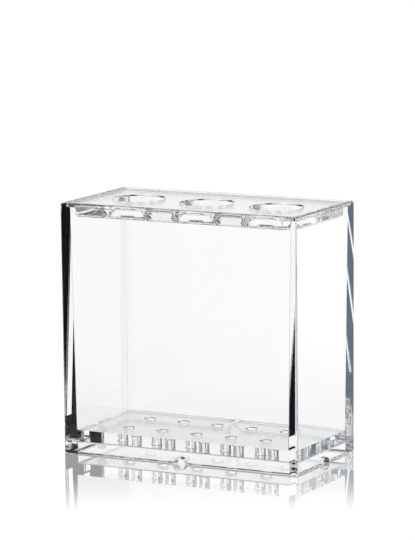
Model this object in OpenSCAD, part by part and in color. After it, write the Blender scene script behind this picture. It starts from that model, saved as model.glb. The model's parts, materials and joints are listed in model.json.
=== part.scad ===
/* [Box] */
// Outside width of the box, along its front
box_width = 115; // [98:1:150]
// Outside depth of the box, from front to back
box_depth = 58; // [45:1:80]
// Height of the box
box_height = 112; // [80:1:140]
// Thickness of the walls at the ledge, where the moulding core is widest
rim_wall = 3.65; // [3.4:0.05:4.6]
// Thickness of the walls at the floor, where the moulding core is narrowest
floor_wall = 5.2; // [4.4:0.1:7]
// Radius of the box's upright outer corners
box_corner_radius = 1; // [1:0.1:6]
// Radius of the rounding along the outer edge of the rim
rim_edge_radius = 0.8; // [0.3:0.1:0.9]

/* [Floor and skirt] */
// Thickness of the floor
floor_thickness = 5; // [3:0.5:8]
// Height of the floor's underside above the foot of the skirt
floor_lift = 5.2; // [4:0.2:12]
// Thickness of the skirt, on which the box stands
skirt_thickness = 5.2; // [3:0.1:8]
// Radius of the half-round water notch in the middle of each side of the skirt
notch_radius = 3; // [1.5:0.5:4]
// Diameter of each drain hole
drain_diameter = 5; // [2:0.5:8]
// Number of rows of drain holes, from front to back
drain_rows = 2; // [1:1:2]
// Distance between the two rows
drain_row_pitch = 20; // [10:1:24]

/* [Rim] */
// Depth of the step inside the rim, down to the ledge that carries the plate
ledge_depth = 1.95; // [1.4:0.05:4]
// Thickness of the lip that stands round the plate
lip_thickness = 2; // [1.5:0.1:2.6]

/* [Lift-out plate] */
// Number of brush holes along the plate
brush_holes = 3; // [2:1:3]
// Diameter of each brush hole
brush_hole_diameter = 23; // [16:0.5:28]
// Width of material between the tongue's end and the nearest brush hole
brush_hole_margin = 7.75; // [3:0.25:12]
// Thickness of the flange, which rests on the ledge
flange_thickness = 1.55; // [1:0.05:3]
// Radius of the flange's upright corners
flange_corner_radius = 1; // [0.5:0.1:3]
// Gap between the flange and the lip, on each side, so that the plate lifts out freely
flange_clearance = 0.3; // [0.1:0.05:0.6]
// Depth of the tongue under the flange, which keeps the plate in place
tongue_depth = 4.45; // [2.5:0.05:8]
// Radius of the tongue's upright corners
tongue_corner_radius = 3.5; // [2.5:0.5:6]
// Radius of the rounding along the tongue's lower edge
tongue_edge_radius = 1.2; // [0.4:0.2:2]
// Gap between the tongue and the inner faces of the walls, on each side
tongue_clearance = 0.6; // [0.3:0.05:1.2]

/* [Hidden] */
$fn = 96;
acrylic_colour = "aliceblue";
acrylic_alpha = 0.4;
cut_overrun = 1;
floor_top = floor_lift + floor_thickness;
ledge_height = box_height - ledge_depth;
cavity_height = ledge_height - floor_top;
// How far each inner face leans outward for every millimetre that it rises
wall_draft = (floor_wall - rim_wall) / cavity_height;
plate_thickness = flange_thickness + tongue_depth;
tongue_base = ledge_height - tongue_depth;
flange_width = box_width - 2 * (lip_thickness + flange_clearance);
flange_breadth = box_depth - 2 * (lip_thickness + flange_clearance);
tongue_width = box_width - 2 * (rim_wall + tongue_clearance);
tongue_breadth = box_depth - 2 * (rim_wall + tongue_clearance);
brush_hole_span = tongue_width - 2 * brush_hole_margin - brush_hole_diameter;
brush_hole_pitch = brush_hole_span / (brush_holes - 1);
// One column of drain holes lies under each brush hole and one between each two
drain_columns = 2 * brush_holes - 1;
drain_pitch = brush_hole_pitch / 2;

// Places of a number of things, a pitch apart and centred on zero
function centred_row(count, pitch) = [for (i = [0:count - 1]) (i - (count - 1) / 2) * pitch];

// Copies of the children at the four corners of a rectangle
module at_corners(width, depth) {
    for (x = [-width / 2, width / 2], y = [-depth / 2, depth / 2])
        translate([x, y, 0])
            children();
}

// Block with rounded upright corners
module rounded_block(width, depth, height, radius) {
    long_side = width - 2 * radius;
    short_side = depth - 2 * radius;
    translate([-width / 2, -short_side / 2, 0])
        cube([width, short_side, height]);
    translate([-long_side / 2, -depth / 2, 0])
        cube([long_side, depth, height]);
    at_corners(long_side, short_side)
        cylinder(r = radius, h = height);
}

// Half of a block in section: square above, and rounded below at its outer end
module rounded_edge_section(reach, height, radius) {
    square([reach - radius, height]);
    translate([0, radius])
        square([reach, height - radius]);
    translate([reach - radius, radius])
        intersection() {
            circle(r = radius);
            mirror([0, 1])
                square(radius);
        }
}

// Straight bar with that section on both sides, centred and lying along Y
module section_bar(width, length, height, radius) {
    translate([0, length / 2, 0])
        rotate([90, 0, 0])
            linear_extrude(height = length)
                for (side = [0, 1])
                    mirror([side, 0])
                        rounded_edge_section(width / 2, height, radius);
}

// Block with rounded upright corners, and its lower edge rounded all along
module cushion(width, depth, height, corner_radius, edge_radius) {
    long_side = width - 2 * corner_radius;
    short_side = depth - 2 * corner_radius;
    section_bar(width, short_side, height, edge_radius);
    rotate([0, 0, 90])
        section_bar(depth, long_side, height, edge_radius);
    at_corners(long_side, short_side)
        rotate_extrude()
            rounded_edge_section(corner_radius, height, edge_radius);
}

// The box's outside as one solid, with the rounding along its upper edge
module outer_body() {
    translate([0, 0, box_height])
        mirror([0, 0, 1])
            cushion(box_width, box_depth, box_height, box_corner_radius, rim_edge_radius);
}

// Section of the cavity between two opposite walls, wider above than at the floor
module drafted_section(outside) {
    low = outside / 2 - floor_wall;
    rise = cavity_height + cut_overrun;
    high = low + wall_draft * rise;
    polygon([[-low, 0], [low, 0], [high, rise], [-high, rise]]);
}

// Cavity between the leaning inner faces of all four walls
module drafted_cavity() {
    translate([0, 0, floor_top])
        intersection() {
            rotate([90, 0, 0])
                linear_extrude(height = box_depth, center = true)
                    drafted_section(box_width);
            rotate([90, 0, 90])
                linear_extrude(height = box_width, center = true)
                    drafted_section(box_depth);
        }
}

// Step inside the rim, which takes the plate's flange with its clearance all round
module rim_step() {
    translate([0, 0, ledge_height])
        rounded_block(
            flange_width + 2 * flange_clearance,
            flange_breadth + 2 * flange_clearance,
            ledge_depth + cut_overrun,
            flange_corner_radius + flange_clearance
        );
}

// Hollow under the floor, open below
module skirt_hollow() {
    width = box_width - 2 * skirt_thickness;
    breadth = box_depth - 2 * skirt_thickness;
    translate([-width / 2, -breadth / 2, -cut_overrun])
        cube([width, breadth, floor_lift + cut_overrun]);
}

// Half-round notches in two opposite sides of the skirt, cut by one bar through both
module notch_pair(outside) {
    rotate([90, 0, 0])
        cylinder(r = notch_radius, h = outside + 2 * cut_overrun, center = true);
}

// Round holes through the floor, so that water drips into the hollow under it
module drain_holes() {
    for (x = centred_row(drain_columns, drain_pitch), y = centred_row(drain_rows, drain_row_pitch))
        translate([x, y, floor_lift - cut_overrun])
            cylinder(d = drain_diameter, h = floor_thickness + 2 * cut_overrun);
}

// Walls, floor and skirt, moulded in one piece
module moulded_box() {
    color(acrylic_colour, acrylic_alpha)
        difference() {
            outer_body();
            drafted_cavity();
            rim_step();
            skirt_hollow();
            notch_pair(box_depth);
            rotate([0, 0, 90])
                notch_pair(box_width);
            drain_holes();
        }
}

// Plate with the brush holes, which lifts out of the rim for cleaning
module top_plate() {
    color(acrylic_colour, acrylic_alpha)
        difference() {
            union() {
                translate([0, 0, tongue_base])
                    cushion(
                        tongue_width,
                        tongue_breadth,
                        tongue_depth,
                        tongue_corner_radius,
                        tongue_edge_radius
                    );
                translate([0, 0, ledge_height])
                    rounded_block(
                        flange_width,
                        flange_breadth,
                        flange_thickness,
                        flange_corner_radius
                    );
            }
            for (x = centred_row(brush_holes, brush_hole_pitch))
                translate([x, 0, tongue_base - cut_overrun])
                    cylinder(d = brush_hole_diameter, h = plate_thickness + 2 * cut_overrun);
        }
}

moulded_box();
top_plate();
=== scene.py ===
# Toothbrush holder of clear acrylic: a moulded box with a raised floor, and a plate that lifts out of it
import json
import math

import bpy
import numpy as np
from mathutils import Matrix, Vector


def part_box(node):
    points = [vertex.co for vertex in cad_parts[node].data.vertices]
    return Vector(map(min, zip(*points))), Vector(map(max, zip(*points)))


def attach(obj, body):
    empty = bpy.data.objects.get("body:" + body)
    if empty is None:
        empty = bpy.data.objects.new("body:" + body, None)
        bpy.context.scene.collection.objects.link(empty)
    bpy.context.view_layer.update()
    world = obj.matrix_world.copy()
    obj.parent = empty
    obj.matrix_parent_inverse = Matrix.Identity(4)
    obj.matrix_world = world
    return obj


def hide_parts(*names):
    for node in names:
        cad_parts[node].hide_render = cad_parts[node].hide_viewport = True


mm = 0.001

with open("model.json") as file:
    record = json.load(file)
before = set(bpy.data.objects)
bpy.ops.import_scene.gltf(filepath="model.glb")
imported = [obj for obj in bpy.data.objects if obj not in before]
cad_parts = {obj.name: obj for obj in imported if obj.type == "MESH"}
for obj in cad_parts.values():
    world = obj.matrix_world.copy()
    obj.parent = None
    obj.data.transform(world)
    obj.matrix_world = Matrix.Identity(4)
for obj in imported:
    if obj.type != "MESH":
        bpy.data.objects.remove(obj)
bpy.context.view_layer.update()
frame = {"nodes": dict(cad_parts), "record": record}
print("frame loaded:", ", ".join(sorted(frame["nodes"])))

# Boxes of the CAD nodes give the outside sizes
boxLow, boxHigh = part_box("moulded_box")
plateLow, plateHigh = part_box("top_plate")
boreMounts = [m for m in frame["record"]["mounts"] if m["kind"] == "bore"]

leastCorner = 0.02 * mm  # keeps the points of a ring's corner apart
sharpAngle = 25  # degrees, and faces that meet at more than this keep a sharp edge


# A closed skin through a stack of rings: point (i, j) of the grid joins its neighbours along and round,
# and the first and last rings are filled in
def ringSkin(rings):
    rows, columns, _ = rings.shape
    index = np.arange(rows * columns).reshape(rows, columns)
    following = np.roll(index, -1, axis=1)
    quads = np.stack([index[:-1], following[:-1], following[1:], index[1:]], axis=-1).reshape(-1, 4)
    faces = quads.tolist() + [index[0][::-1].tolist(), index[-1].tolist()]
    return rings.reshape(-1, 3), faces


# A level ring round a rectangle: each corner's centre plus radius times (cos t, sin t) over its quarter turn
def roundedRing(halfWidth, halfDepth, height, radius, shift=0.0, steps=10):
    radius = max(radius, leastCorner)
    turn = (np.arange(4)[:, None] + np.linspace(0, 1, steps + 1)[None, :]) * math.pi / 2
    signX = np.array([1, -1, -1, 1])[:, None]
    signY = np.array([1, 1, -1, -1])[:, None]
    x = shift + signX * (halfWidth - radius) + radius * np.cos(turn)
    y = signY * (halfDepth - radius) + radius * np.sin(turn)
    return np.stack([x, y, np.full_like(x, height)], axis=-1).reshape(-1, 3)


# A bar used only to cut: circles of radius r, one for each (distance, r) of its profile, along an axis
def turnedBar(centre, profile, axis, steps=96):
    turn = np.linspace(0, 2 * math.pi, steps, endpoint=False)
    circle = np.stack([np.cos(turn), np.sin(turn), np.zeros(steps)], axis=-1)
    rings = np.stack([circle * radius + [0, 0, along] for along, radius in profile])
    turned = Vector((0, 0, 1)).rotation_difference(Vector(axis)).to_matrix()
    return ringSkin(rings @ np.array(turned).T + np.array(centre))


# Profile of a hole through a plate from z = low to high, with a bevel at both mouths
def holeProfile(low, high, radius, edge):
    over = high - low
    return [
        (low - over, radius + edge),
        (low, radius + edge),
        (low + edge, radius),
        (high - edge, radius),
        (high, radius + edge),
        (high + over, radius + edge),
    ]


# One mesh object from any number of (points, faces) pairs
def meshObject(name, parts):
    points, faces, offset = [], [], 0
    for partPoints, partFaces in parts:
        points.append(partPoints)
        faces += [[offset + k for k in face] for face in partFaces]
        offset += len(partPoints)
    mesh = bpy.data.meshes.new(name)
    mesh.from_pydata(np.concatenate(points).tolist(), [], faces)
    mesh.update()
    thing = bpy.data.objects.new(name, mesh)
    bpy.context.scene.collection.objects.link(thing)
    return thing


# The object's mesh with its modifiers carried out, and the modifiers gone
def settle(thing):
    evaluated = thing.evaluated_get(bpy.context.evaluated_depsgraph_get())
    thing.data = bpy.data.meshes.new_from_object(evaluated)
    thing.modifiers.clear()
    return thing


# Cuts the bars out of a piece and shades its round faces smooth and its flat ones flat
def cutAndFinish(thing, bars):
    cutter = meshObject("cutter", bars)
    cut = thing.modifiers.new("holes", "BOOLEAN")
    cut.operation = "DIFFERENCE"
    cut.solver = "EXACT"
    cut.object = cutter
    settle(thing)
    bpy.data.objects.remove(cutter)
    thing.data.shade_smooth()
    thing.data.set_sharp_from_angle(angle=math.radians(sharpAngle))
    weighted = thing.modifiers.new("normals", "WEIGHTED_NORMAL")
    weighted.keep_sharp = True
    weighted.weight = 100
    return settle(thing)


mouldedBox = {
    "width": boxHigh.x - boxLow.x,
    "depth": boxHigh.y - boxLow.y,
    "height": boxHigh.z,
    "rimWall": 3.65 * mm,  # walls are thinnest at the ledge
    "floorWall": 5.2 * mm,  # and thickest at the floor, because the moulding core tapers
    "coreLean": 0.45 * mm,  # the core stands this much nearer the left wall at the floor
    "skirt": 5.2 * mm,  # wall thickness below the floor
    "lip": 2.0 * mm,  # width of the rim round the plate
    "ledgeDepth": 1.95 * mm,  # from the rim down to the ledge that carries the plate
    "stepCorner": 1.3 * mm,  # inside the lip
    "floorTop": 10.2 * mm,
    "floorUnder": 5.2 * mm,
    "outerCornerRim": 0.4 * mm,
    "outerCornerFoot": 1.1 * mm,
    "hollowCorner": 0.4 * mm,  # of the hollow under the floor
    "innerCornerRim": 0.15 * mm,
    "innerCornerFloor": 0.6 * mm,
    "rimEdge": 0.8 * mm,  # rounding along the rim's outer edge
    "footEdge": 0.5 * mm,  # bevel round the foot
    "underFillet": 0.7 * mm,  # between the floor's underside and the skirt
    "edgeBreak": 0.3 * mm,
    "notchRadius": 3 * mm,
    "drainRadius": 2.5 * mm,
    "drainEdge": 0.3 * mm,
    "drainColumns": 5,
    "drainPitch": 17 * mm,
    "drainRowPitch": 20 * mm,
}


# Walls, floor and skirt as one solid: rings of (inset, height, corner radius, shift along x) from the hollow
# under the floor, round the foot, up the outside, over the rim and down the leaning cavity to the floor
def makeMouldedBox(name, p, rimSteps=6, coreSteps=8):
    ledge = p["height"] - p["ledgeDepth"]
    halfWidth, halfDepth = p["width"] / 2, p["depth"] / 2
    nick = p["edgeBreak"]
    rimArc = np.linspace(0, math.pi / 2, rimSteps + 1)
    fillet, foot, hollow = p["underFillet"], p["footEdge"], p["hollowCorner"]
    profile = []
    for t in rimArc:
        inset = p["skirt"] + fillet * (1 - math.sin(t))
        profile.append((inset, p["floorUnder"] - fillet * (1 - math.cos(t)), hollow, 0))
    profile += [(p["skirt"], nick, hollow, 0), (p["skirt"] - nick, 0, hollow, 0)]
    profile += [(foot, 0, p["outerCornerFoot"] - foot, 0), (0, foot, p["outerCornerFoot"], 0)]
    profile.append((0, p["height"] - p["rimEdge"], p["outerCornerRim"], 0))
    for t in rimArc[1:]:
        inset = p["rimEdge"] * (1 - math.cos(t))
        height = p["height"] - p["rimEdge"] * (1 - math.sin(t))
        profile.append((inset, height, p["outerCornerRim"] - inset, 0))
    profile += [
        (p["lip"] - nick, p["height"], p["stepCorner"], 0),
        (p["lip"], p["height"] - nick, p["stepCorner"], 0),
        (p["lip"], ledge, p["stepCorner"], 0),
        (p["rimWall"] - nick, ledge, p["innerCornerRim"], 0),
    ]
    top = ledge - nick
    for share in np.linspace(0, 1, coreSteps + 1):
        wall = p["rimWall"] + (p["floorWall"] - p["rimWall"]) * share
        corner = p["innerCornerRim"] + (p["innerCornerFloor"] - p["innerCornerRim"]) * share
        profile.append((wall, top + (p["floorTop"] - top) * share, corner, -p["coreLean"] * share))
    rings = np.stack([roundedRing(halfWidth - i, halfDepth - i, z, r, s) for i, z, r, s in profile])
    box = meshObject(name, [ringSkin(rings)])
    # Two rows of drain holes, and a half-round notch in the middle of each side of the skirt
    columns = (np.arange(p["drainColumns"]) - (p["drainColumns"] - 1) / 2) * p["drainPitch"]
    hole = holeProfile(p["floorUnder"], p["floorTop"], p["drainRadius"], p["drainEdge"])
    bars = [
        turnedBar((x, y, 0), hole, (0, 0, 1))
        for x in columns
        for y in (-p["drainRowPitch"] / 2, p["drainRowPitch"] / 2)
    ]
    notch = [(-p["skirt"], p["notchRadius"]), (p["skirt"], p["notchRadius"])]
    for side in (-1, 1):
        bars.append(turnedBar((0, side * (halfDepth - p["skirt"] / 2), 0), notch, (0, 1, 0)))
        bars.append(turnedBar((side * (halfWidth - p["skirt"] / 2), 0, 0), notch, (1, 0, 0)))
    return cutAndFinish(box, bars)


liftPlate = {
    "width": plateHigh.x - plateLow.x,
    "depth": plateHigh.y - plateLow.y,
    "top": plateHigh.z,
    "bottom": plateLow.z,
    "flange": 1.55 * mm,
    "flangeCorner": 1.0 * mm,
    "overhang": 1.95 * mm,  # of the flange past the tongue
    "tongueCorner": 3.5 * mm,
    "tongueEdge": 1.2 * mm,
    "airGap": 0.05 * mm,  # a hair of air under the flange, as between any two clear pieces
    "edgeBreak": 0.3 * mm,
    "holeEdge": 0.6 * mm,
    "holeRadius": boreMounts[0]["dims"]["r_mm"] * mm,
    "holePlaces": [m["pos_m"][0] for m in boreMounts],
    "holeSteps": 160,  # facets round a brush hole
}


# Plate with brush holes: rings of (inset, height, corner radius) from the tongue's rounded lower edge up
def makeLiftPlate(name, p, arcSteps=8):
    flangeUnder = p["top"] - p["flange"] + p["airGap"]
    nick = p["edgeBreak"]
    rounding = p["tongueEdge"]
    profile = []
    for t in np.linspace(0, math.pi / 2, arcSteps + 1):
        inset = rounding * (1 - math.sin(t))
        height = p["bottom"] + rounding * (1 - math.cos(t))
        profile.append((p["overhang"] + inset, height, p["tongueCorner"] - inset))
    profile += [
        (p["overhang"], flangeUnder, p["tongueCorner"]),
        (nick, flangeUnder, p["flangeCorner"] - nick),
        (0, flangeUnder + nick, p["flangeCorner"]),
        (0, p["top"] - nick, p["flangeCorner"]),
        (nick, p["top"], p["flangeCorner"] - nick),
    ]
    halfWidth, halfDepth = p["width"] / 2, p["depth"] / 2
    rings = np.stack([roundedRing(halfWidth - i, halfDepth - i, z, r) for i, z, r in profile])
    plate = meshObject(name, [ringSkin(rings)])
    hole = holeProfile(p["bottom"], p["top"], p["holeRadius"], p["holeEdge"])
    bars = [turnedBar((x, 0, 0), hole, (0, 0, 1), p["holeSteps"]) for x in p["holePlaces"]]
    return cutAndFinish(plate, bars)


# sRGB hex to linear RGBA
def hexColour(code):
    channels = [int(code[i : i + 2], 16) / 255 for i in (1, 3, 5)]
    linear = [c / 12.92 if c <= 0.04045 else ((c + 0.055) / 1.055) ** 2.4 for c in channels]
    return (*linear, 1.0)


# Adds a node with its settings, its inputs set or linked
def addNode(tree, kind, inputs=None, **settings):
    node = tree.nodes.new(kind)
    for key, value in settings.items():
        setattr(node, key, value)
    for key, value in (inputs or {}).items():
        if isinstance(value, bpy.types.NodeSocket):
            tree.links.new(value, node.inputs[key])
        else:
            node.inputs[key].default_value = value
    return node


# An empty material and its node tree
def newMaterial(name):
    material = bpy.data.materials.new(name)
    material.use_nodes = True
    material.node_tree.nodes.clear()
    return material, material.node_tree


acrylicLook = {
    "tint": "#FFFFFF",
    "shadowTint": "#F4F7F8",
    "ior": 1.49,
    "polish": 0.0,  # roughness where the mould is polished
    "satin": 0.12,  # and of the floor's underside, where it isn't
    "flowSize": 26 * mm,  # soft waves left by the melt as it filled the mould
    "flowDepth": 0.004 * mm,
    "flowDetail": 1.0,
    "flowRoughness": 0.4,
    "satinFacing": 0.99,  # the underside's faces point down at least this much, as a cosine
    "satinReach": 0.01 * mm,  # and lie this close to its height
}


# Acrylic, injection-moulded in a polished mould: water-clear and glossy, with very faint flow waves
def mouldedAcrylic(name, roughness, p):
    material, tree = newMaterial(name)
    flow = {
        "Vector": addNode(tree, "ShaderNodeTexCoord").outputs["Object"],
        "Scale": 1 / p["flowSize"],
        "Detail": p["flowDetail"],
        "Roughness": p["flowRoughness"],
    }
    waves = addNode(tree, "ShaderNodeTexNoise", flow).outputs["Fac"]
    relief = {"Height": waves, "Strength": 1.0, "Distance": p["flowDepth"]}
    bump = addNode(tree, "ShaderNodeBump", relief).outputs["Normal"]
    finish = {
        "Base Color": hexColour(p["tint"]),
        "Roughness": roughness,
        "IOR": p["ior"],
        "Transmission Weight": 1.0,
        "Normal": bump,
    }
    glass = addNode(tree, "ShaderNodeBsdfPrincipled", finish).outputs[0]
    # Light that casts the shadow goes straight through
    clear = addNode(tree, "ShaderNodeBsdfTransparent", {"Color": hexColour(p["shadowTint"])}).outputs[0]
    shadow = addNode(tree, "ShaderNodeLightPath").outputs["Is Shadow Ray"]
    surface = addNode(tree, "ShaderNodeMixShader", {0: shadow, 1: glass, 2: clear}).outputs[0]
    addNode(tree, "ShaderNodeOutputMaterial", {"Surface": surface})
    return material


box = makeMouldedBox("mouldedBox", mouldedBox)
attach(box, "box")
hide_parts("moulded_box")
plate = makeLiftPlate("liftPlate", liftPlate)
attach(plate, "plate")
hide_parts("top_plate")
polished = mouldedAcrylic("acrylicMouldedPolished", acrylicLook["polish"], acrylicLook)
satin = mouldedAcrylic("acrylicMouldedSatin", acrylicLook["satin"], acrylicLook)
for piece in (box, plate):
    piece.data.materials.clear()
    piece.data.materials.append(polished)
box.data.materials.append(satin)
# The satin finish goes on the floor's underside alone
for face in box.data.polygons:
    pointsDown = face.normal.z < -acrylicLook["satinFacing"]
    offset = abs(face.center.z - mouldedBox["floorUnder"])
    if pointsDown and offset < acrylicLook["satinReach"]:
        face.material_index = 1
print("pieces made:", len(box.data.polygons), "and", len(plate.data.polygons), "faces")


view = {
    "azimuth": 27.53,  # degrees, from the front towards the right
    "elevation": 10.01,  # degrees above level
    "distance": 1500 * mm,
    "aimRight": -0.06 * mm,
    "aimHeight": 81.6 * mm,
    "roll": -0.511,  # degrees
    "focalPixels": 3403,
    "framePixels": 540,  # longer side of the photograph
    "sensor": 36,  # millimetres
    "clipEnd": 50,  # metres
}


# Camera set by the angles, distance and roll of the photograph
def makeCamera(p):
    turn, rise, roll = (math.radians(p[k]) for k in ("azimuth", "elevation", "roll"))
    back = Vector((math.sin(turn) * math.cos(rise), -math.cos(turn) * math.cos(rise), math.sin(rise)))
    eye = Vector((0, 0, mouldedBox["height"] / 2)) + back * p["distance"]
    sideways = Vector((math.cos(turn), math.sin(turn), 0))
    aim = sideways * p["aimRight"] + Vector((0, 0, p["aimHeight"]))
    away = (eye - aim).normalized()
    right = Vector((0, 0, 1)).cross(away).normalized()
    up = away.cross(right)
    cameraRight = math.cos(roll) * right + math.sin(roll) * up
    cameraUp = -math.sin(roll) * right + math.cos(roll) * up
    data = bpy.data.cameras.new("camera")
    data.sensor_width = p["sensor"]
    data.lens = p["focalPixels"] * p["sensor"] / p["framePixels"]
    data.clip_end = p["clipEnd"]
    camera = bpy.data.objects.new("camera", data)
    bpy.context.scene.collection.objects.link(camera)
    placed = Matrix((cameraRight, cameraUp, away)).transposed().to_4x4()
    placed.translation = eye
    camera.matrix_world = placed
    bpy.context.scene.camera = camera


makeCamera(view)

# A sector is a compass angle in degrees, to the right of straight behind, and its half width. Heights are
# sines of the angle above level, and a pair of them gives the start and the end of a soft change
studio = {
    "white": "#FFFFFF",
    "sectorEdge": 0.01,  # half width of a sector's soft edges, as a cosine
    "roomLow": "#66737F",  # the room in front and at the sides, steel blue
    "roomHigh": "#2C3B49",
    "roomRise": (0.22, 0.38),
    "roomDark": "#15191D",  # its dark patches, and what lies over the backdrop
    "paneScale": 5.0,  # patches of the room that are lit or dark, seen only after two mirrorings
    "litShare": 0.4,
    "unlitShare": 0.5,
    "window": (-158, 20),  # a dark blue window in front on the left
    "windowBlue": "#003F5C",
    "frontDark": "#48484E",  # the room's front half, as the outer faces mirror it
    "backdrop": (-30, 36),
    "backdropTop": "#D8DADC",  # its upper part, as the outer faces mirror it
    "backdropTopInside": "#FCFCFC",  # and as it is seen from inside the clear pieces
    "backdropRise": (0.05, 0.2),
    "darkAbove": (0.25, 0.36),
    "card": (24, 35),  # a black card behind on the right
    "cardBlack": "#0E0E11",
    "cardFoot": (0.08, 0.16),  # below this the card is white, but for the two cases that follow
    "cardMirrored": 3,  # black after this many mirrorings or more
    "cardPassed": 2,  # or after this many surfaces or fewer
    "ceiling": "#EEF0F2",
    "ceilingRise": (0.86, 0.93),
    "frontCard": (-152, 12),  # two low white cards, in front on the left and behind
    "backCard": (-12, 40),
    "lowReach": (-0.3, 0.0),  # heights of both
    "lowPassed": 3,  # after this many surfaces or more, what lies at these heights is white all round
    "straightTop": 0.02,  # what is seen straight through the pieces is white up to this height
    "straightPassed": 4,  # and through no more surfaces than this
    "tablePassed": 4,  # through this many surfaces or more, what the table mirrors is white
    "floorMirror": 0.70,  # share of mirror in the table beside the box
    "innerMirror": 0.5,  # how much of that mirror is left for what is seen through the clear pieces
    "mirrorRoughness": 0.02,
    "mirrorFull": 48 * mm,  # distances from the box's middle between which the mirror fades out
    "mirrorGone": 132 * mm,
    "floorSize": 6.0,  # metres
    "floorDrop": 0.02 * mm,
    "shadowShare": 0.12,  # share of the floor's white that a shadow can darken
    "lampPlace": (-0.25, -0.1, 0.9),  # metres
    "lampSize": 0.7,  # metres
    "lampPower": 6.0,  # watts
    "bounces": 96,  # light is mirrored many times inside the clear pieces
    "shadowBounces": 32,
}


# World, worked out from a ray's direction and from how often it was mirrored and has passed a surface.
# The background, what is seen straight through the clear pieces and what the table mirrors are white.
# The pieces themselves mirror a studio: a white backdrop, a black card, two low white cards, and a dim
# steel-blue room with a window and a pale ceiling
def makeWorld(p):
    world = bpy.data.worlds.new("studio")
    bpy.context.scene.world = world
    world.use_nodes = True
    tree = world.node_tree
    tree.nodes.clear()
    white, dark = hexColour(p["white"]), hexColour(p["roomDark"])
    place = addNode(tree, "ShaderNodeTexCoord").outputs["Generated"]
    right, back, height = addNode(tree, "ShaderNodeSeparateXYZ", {0: place}).outputs
    flat = addNode(tree, "ShaderNodeCombineXYZ", {0: right, 1: back, 2: 0.0}).outputs[0]
    compass = addNode(tree, "ShaderNodeVectorMath", {0: flat}, operation="NORMALIZE").outputs[0]
    steepness = addNode(tree, "ShaderNodeMath", {0: height}, operation="ABSOLUTE").outputs[0]
    path = addNode(tree, "ShaderNodeLightPath").outputs
    mirrored, passed = path["Glossy Depth"], path["Transmission Depth"]

    # Masks are 1 where they hold and 0 where they don't
    def both(first, second):
        return addNode(tree, "ShaderNodeMath", {0: first, 1: second}, operation="MULTIPLY").outputs[0]

    def either(first, second):
        return addNode(tree, "ShaderNodeMath", {0: first, 1: second}, operation="MAXIMUM").outputs[0]

    def opposite(mask):
        return addNode(tree, "ShaderNodeMath", {0: 1.0, 1: mask}, operation="SUBTRACT").outputs[0]

    def above(value, limit):
        return addNode(tree, "ShaderNodeMath", {0: value, 1: limit}, operation="GREATER_THAN").outputs[0]

    def below(value, limit):
        return addNode(tree, "ShaderNodeMath", {0: value, 1: limit}, operation="LESS_THAN").outputs[0]

    # Counts are whole numbers, and a limit halfway between two of them is a safe one
    def atLeast(count, least):
        return above(count, least - 0.5)

    def atMost(count, most):
        return below(count, most + 0.5)

    # Rises smoothly from 0 at the first limit to 1 at the second
    def rise(value, low, high):
        limits = {"Value": value, "From Min": low, "From Max": high}
        return addNode(tree, "ShaderNodeMapRange", limits, interpolation_type="SMOOTHSTEP").outputs["Result"]

    # 1 where the cosine of the angle from the middle is more than that of the half width
    def sector(middle, half):
        turn = math.radians(middle)
        centre = (math.sin(turn), math.cos(turn), 0)
        facing = addNode(tree, "ShaderNodeVectorMath", {0: compass, 1: centre}, operation="DOT_PRODUCT")
        edge = math.cos(math.radians(half))
        return rise(facing.outputs["Value"], edge - p["sectorEdge"], edge + p["sectorEdge"])

    # One colour with another laid over it where the mask holds
    def lay(under, mask, over):
        colours = {"Factor": mask, 6: under, 7: over}
        return addNode(tree, "ShaderNodeMix", colours, data_type="RGBA").outputs[2]

    inside, again = atLeast(passed, 1), atLeast(mirrored, 2)
    behind = sector(*p["backdrop"])

    # The room
    highUp = rise(steepness, *p["roomRise"])
    room = lay(hexColour(p["roomLow"]), highUp, hexColour(p["roomHigh"]))
    pattern = {"Vector": place, "Scale": p["paneScale"], "Randomness": 1.0}
    panes = addNode(tree, "ShaderNodeTexVoronoi", pattern)
    chance = addNode(tree, "ShaderNodeSeparateColor", {0: panes.outputs["Color"]}).outputs[0]
    room = lay(room, both(below(chance, p["litShare"]), again), white)
    room = lay(room, both(above(chance, 1 - p["unlitShare"]), again), dark)
    window = both(sector(*p["window"]), either(highUp, again))
    room = lay(room, window, hexColour(p["windowBlue"]))
    outside = lay(white, below(back, 0.0), hexColour(p["frontDark"]))
    room = lay(outside, inside, room)

    # The backdrop, the card and the ceiling
    top = lay(hexColour(p["backdropTop"]), inside, hexColour(p["backdropTopInside"]))
    backdrop = lay(white, rise(height, *p["backdropRise"]), top)
    backdrop = lay(backdrop, rise(height, *p["darkAbove"]), dark)
    colour = lay(room, behind, backdrop)
    black = either(atLeast(mirrored, p["cardMirrored"]), atMost(passed, p["cardPassed"]))
    black = either(black, rise(height, *p["cardFoot"]))
    card = lay(white, black, hexColour(p["cardBlack"]))
    colour = lay(colour, both(sector(*p["card"]), inside), card)
    colour = lay(colour, rise(height, *p["ceilingRise"]), hexColour(p["ceiling"]))

    # The low white cards, and all low places after some surfaces, while mirrored once or not at all
    low = both(above(height, p["lowReach"][0]), below(height, p["lowReach"][1]))
    whiteCards = both(inside, either(sector(*p["frontCard"]), sector(*p["backCard"])))
    faint = both(atMost(mirrored, 1), both(low, either(atLeast(passed, p["lowPassed"]), whiteCards)))
    # What is seen straight through the pieces
    straight = both(atMost(mirrored, 0), atMost(passed, p["straightPassed"]))
    straight = both(straight, below(height, p["straightTop"]))
    # The background, and what the table mirrors beside the pieces
    tableTop = opposite(either(path["Is Singular Ray"], both(inside, again)))
    # What the table mirrors through the pieces, but for the sector of the backdrop
    upward = both(above(height, 0.0), atLeast(passed, p["tablePassed"]))
    inTable = both(both(atLeast(mirrored, 1), atMost(mirrored, 1)), both(upward, opposite(behind)))
    plain = either(either(faint, straight), either(tableTop, inTable))
    colour = lay(colour, plain, white)
    background = addNode(tree, "ShaderNodeBackground", {"Color": colour, "Strength": 1.0})
    addNode(tree, "ShaderNodeOutputWorld", {"Surface": background.outputs[0]})


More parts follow.
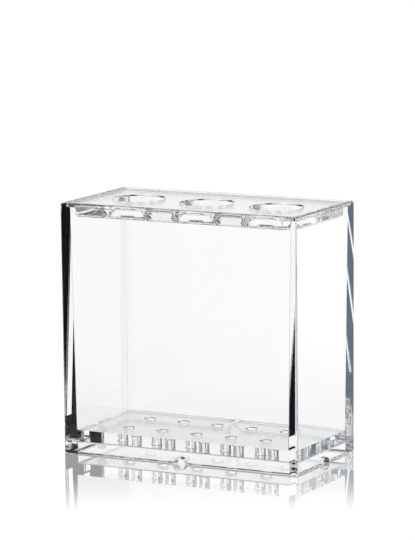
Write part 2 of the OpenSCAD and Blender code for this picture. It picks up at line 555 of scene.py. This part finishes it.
# Acrylic table top, cast and polished: pale, mostly mirror beside the box, and plain white away from it.
# The share of mirror falls smoothly with the distance in front of the box and behind it
def makeFloor(p):
    half = p["floorSize"] / 2
    corners = np.array([(-half, -half, 0), (half, -half, 0), (half, half, 0), (-half, half, 0)])
    corners[:, 2] = -p["floorDrop"]
    floor = meshObject("paleFloor", [(corners, [[0, 1, 2, 3]])])
    material, tree = newMaterial("acrylicTableTopPale")
    white = hexColour(p["white"])
    place = addNode(tree, "ShaderNodeTexCoord").outputs["Object"]
    turn = math.radians(view["azimuth"])
    towards = (math.sin(turn), -math.cos(turn), 0)
    forward = addNode(tree, "ShaderNodeVectorMath", {0: place, 1: towards}, operation="DOT_PRODUCT")
    distance = addNode(tree, "ShaderNodeMath", {0: forward.outputs["Value"]}, operation="ABSOLUTE")
    fall = {
        "Value": distance.outputs[0],
        "From Min": p["mirrorFull"],
        "From Max": p["mirrorGone"],
        "To Min": p["floorMirror"],
        "To Max": 0.0,
    }
    share = addNode(tree, "ShaderNodeMapRange", fall, interpolation_type="SMOOTHSTEP").outputs["Result"]
    fromCamera = addNode(tree, "ShaderNodeLightPath").outputs["Is Camera Ray"]
    levels = {"Value": fromCamera, "To Min": p["innerMirror"], "To Max": 1.0}
    level = addNode(tree, "ShaderNodeMapRange", levels).outputs["Result"]
    share = addNode(tree, "ShaderNodeMath", {0: share, 1: level}, operation="MULTIPLY").outputs[0]
    glow = addNode(tree, "ShaderNodeEmission", {"Color": white, "Strength": 1.0}).outputs[0]
    matt = addNode(tree, "ShaderNodeBsdfDiffuse", {"Color": white}).outputs[0]
    pale = addNode(tree, "ShaderNodeMixShader", {0: p["shadowShare"], 1: glow, 2: matt}).outputs[0]
    # Seen through the clear pieces it lets the white world below show, which keeps them clean
    clear = addNode(tree, "ShaderNodeBsdfTransparent", {"Color": white}).outputs[0]
    base = addNode(tree, "ShaderNodeMixShader", {0: fromCamera, 1: clear, 2: pale}).outputs[0]
    polish = {"Color": white, "Roughness": p["mirrorRoughness"]}
    mirror = addNode(tree, "ShaderNodeBsdfGlossy", polish).outputs[0]
    surface = addNode(tree, "ShaderNodeMixShader", {0: share, 1: base, 2: mirror}).outputs[0]
    addNode(tree, "ShaderNodeOutputMaterial", {"Surface": surface})
    floor.data.materials.append(material)


# One soft lamp overhead, kept out of the clear pieces' reflections
def makeLamp(p):
    data = bpy.data.lights.new("softBox", "AREA")
    data.shape = "SQUARE"
    data.size = p["lampSize"]
    data.energy = p["lampPower"]
    lamp = bpy.data.objects.new("softBox", data)
    bpy.context.scene.collection.objects.link(lamp)
    lamp.location = p["lampPlace"]
    lamp.rotation_euler = (-Vector(lamp.location)).to_track_quat("-Z", "Y").to_euler()
    lamp.visible_glossy = False
    lamp.visible_transmission = False


makeWorld(studio)
makeFloor(studio)
makeLamp(studio)
scene = bpy.context.scene
scene.view_settings.view_transform = "Standard"
scene.cycles.max_bounces = studio["bounces"]
scene.cycles.transmission_bounces = studio["bounces"]
scene.cycles.glossy_bounces = studio["bounces"]
scene.cycles.transparent_max_bounces = studio["shadowBounces"]
print("studio made")
